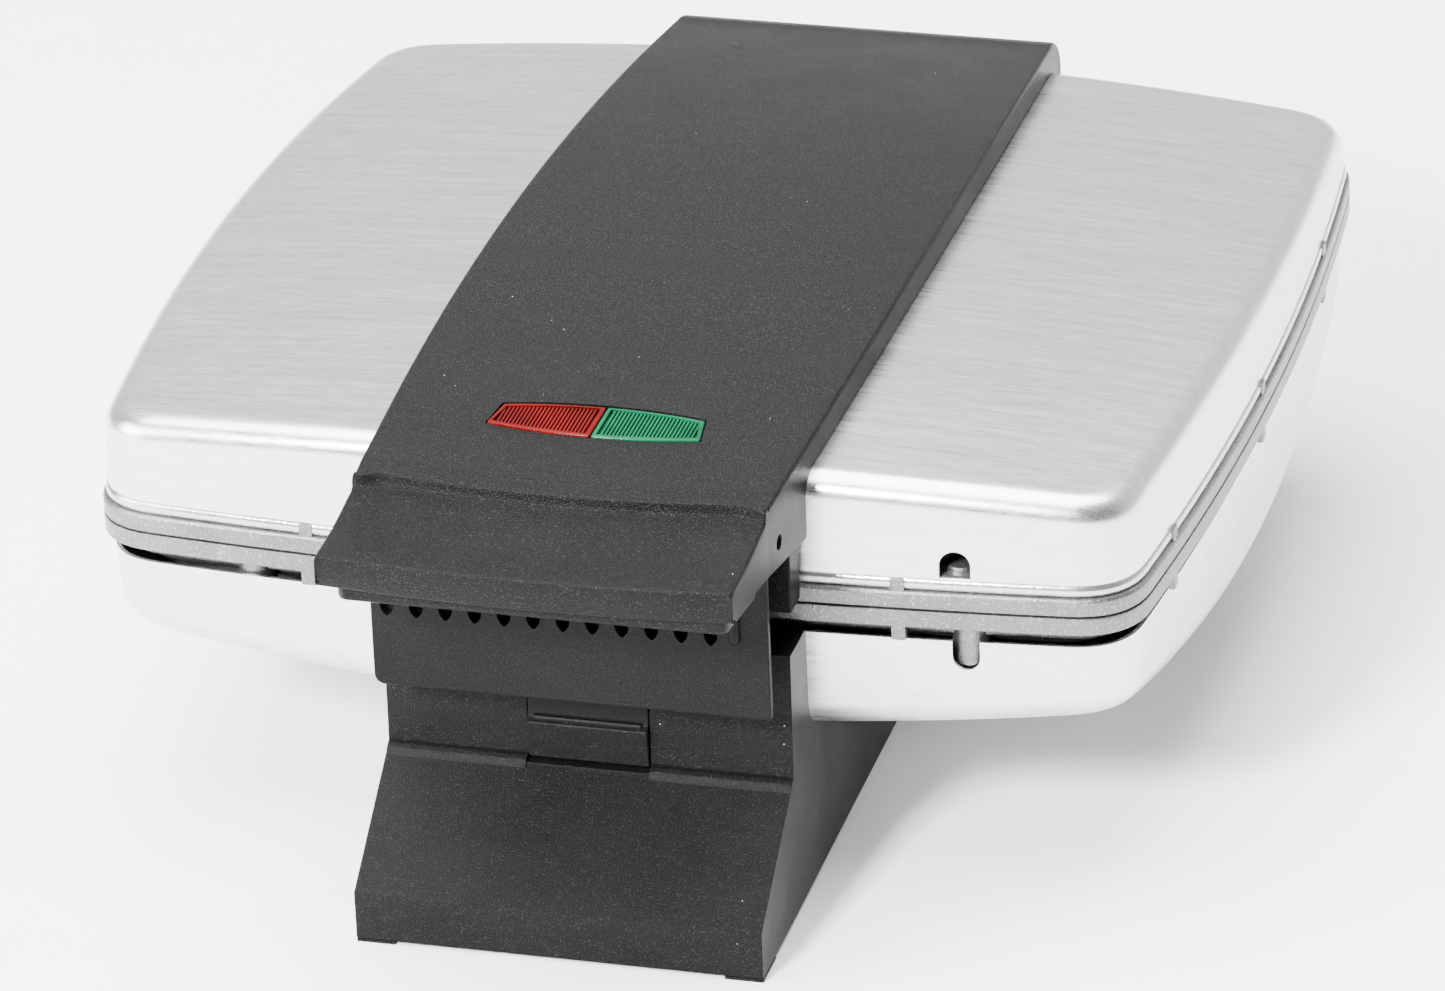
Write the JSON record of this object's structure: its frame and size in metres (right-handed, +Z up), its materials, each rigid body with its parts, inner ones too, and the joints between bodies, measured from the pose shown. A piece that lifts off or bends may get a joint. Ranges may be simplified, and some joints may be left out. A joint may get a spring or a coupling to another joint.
{
  "type": "waffle maker",
  "caption": "Electric double waffle maker: steel-cased plates hinged at the back, black strap, front handle with indicator lenses, swinging latch flap and black stand.",
  "frame": {"origin": "on the table under the middle of the whole object's box", "axes": "+X points to the right of a person who stands in front of the handle, +Y points from the handle to the hinge, +Z points up"},
  "size_m": [0.2998, 0.3802, 0.1297],
  "materials": {
    "black_plastic": "fine-grained dark charcoal moulding",
    "brushed_steel": "fine brushing from side to side",
    "cast_aluminium": "grey sand-cast with a dull sheen",
    "plain_steel": "plain zinc-plated steel",
    "ceramic": "unglazed ceramic",
    "black_rubber": "matt black rubber",
    "red_lens": "clear red with moulded ribs",
    "green_lens": "clear green with moulded ribs",
    "lamp_glass": "clear neon lamp glass"
  },
  "bodies": {
    "base": {"stand": "black_plastic", "base_cover": "black_plastic", "lower_shell": "brushed_steel", "lower_plate": "cast_aluminium", "lower_heating_element": "plain_steel", "lower_reflector": "plain_steel", "thermostat": "ceramic", "lower_plate_screw_front": "plain_steel", "lower_plate_screw_middle": "plain_steel", "lower_plate_screw_back": "plain_steel", "cover_screw_front_left": "plain_steel", "cover_screw_front_right": "plain_steel", "cover_screw_back_left": "plain_steel", "cover_screw_back_right": "plain_steel", "foot_front_left": "black_rubber", "foot_front_right": "black_rubber", "foot_back_left": "black_rubber", "foot_back_right": "black_rubber", "hinge_pin": "plain_steel", "cord_gland": "black_rubber", "terminal_block": "ceramic"},
    "lid": {"lid_cover": "black_plastic", "handle_underside": "black_plastic", "lid_front_block": "black_plastic", "top_shell": "brushed_steel", "upper_plate": "cast_aluminium", "upper_heating_element": "plain_steel", "upper_reflector": "plain_steel", "thermal_fuse": "ceramic", "red_lens": "red_lens", "green_lens": "green_lens", "red_neon_lamp": "lamp_glass", "green_neon_lamp": "lamp_glass", "lamp_holder": "ceramic", "upper_plate_screw_front": "plain_steel", "upper_plate_screw_middle": "plain_steel", "upper_plate_screw_back": "plain_steel"},
    "latch": {"latch_flap": "black_plastic", "latch_pin": "plain_steel"},
    "button": {"catch_button": "black_plastic", "catch_spring": "plain_steel"}
  },
  "joints": [
    {"name": "lid_hinge", "type": "hinge", "parent": "base", "child": "lid", "pos_m": [0, 0.18085, 0.08505], "axis": [-1, 0, 0], "range_deg": [0, 100]},
    {"name": "latch_hinge", "type": "hinge", "parent": "lid", "child": "latch", "pos_m": [0, -0.14315, 0.1135], "axis": [-1, 0, 0], "range_deg": [-3, 20]},
    {"name": "catch_slide", "type": "slide", "parent": "base", "child": "button", "axis": [0, 1, 0], "range_m": [0, 0.0025], "stiffness_N_per_m": 400, "deforming": ["catch_spring"]}
  ]
}
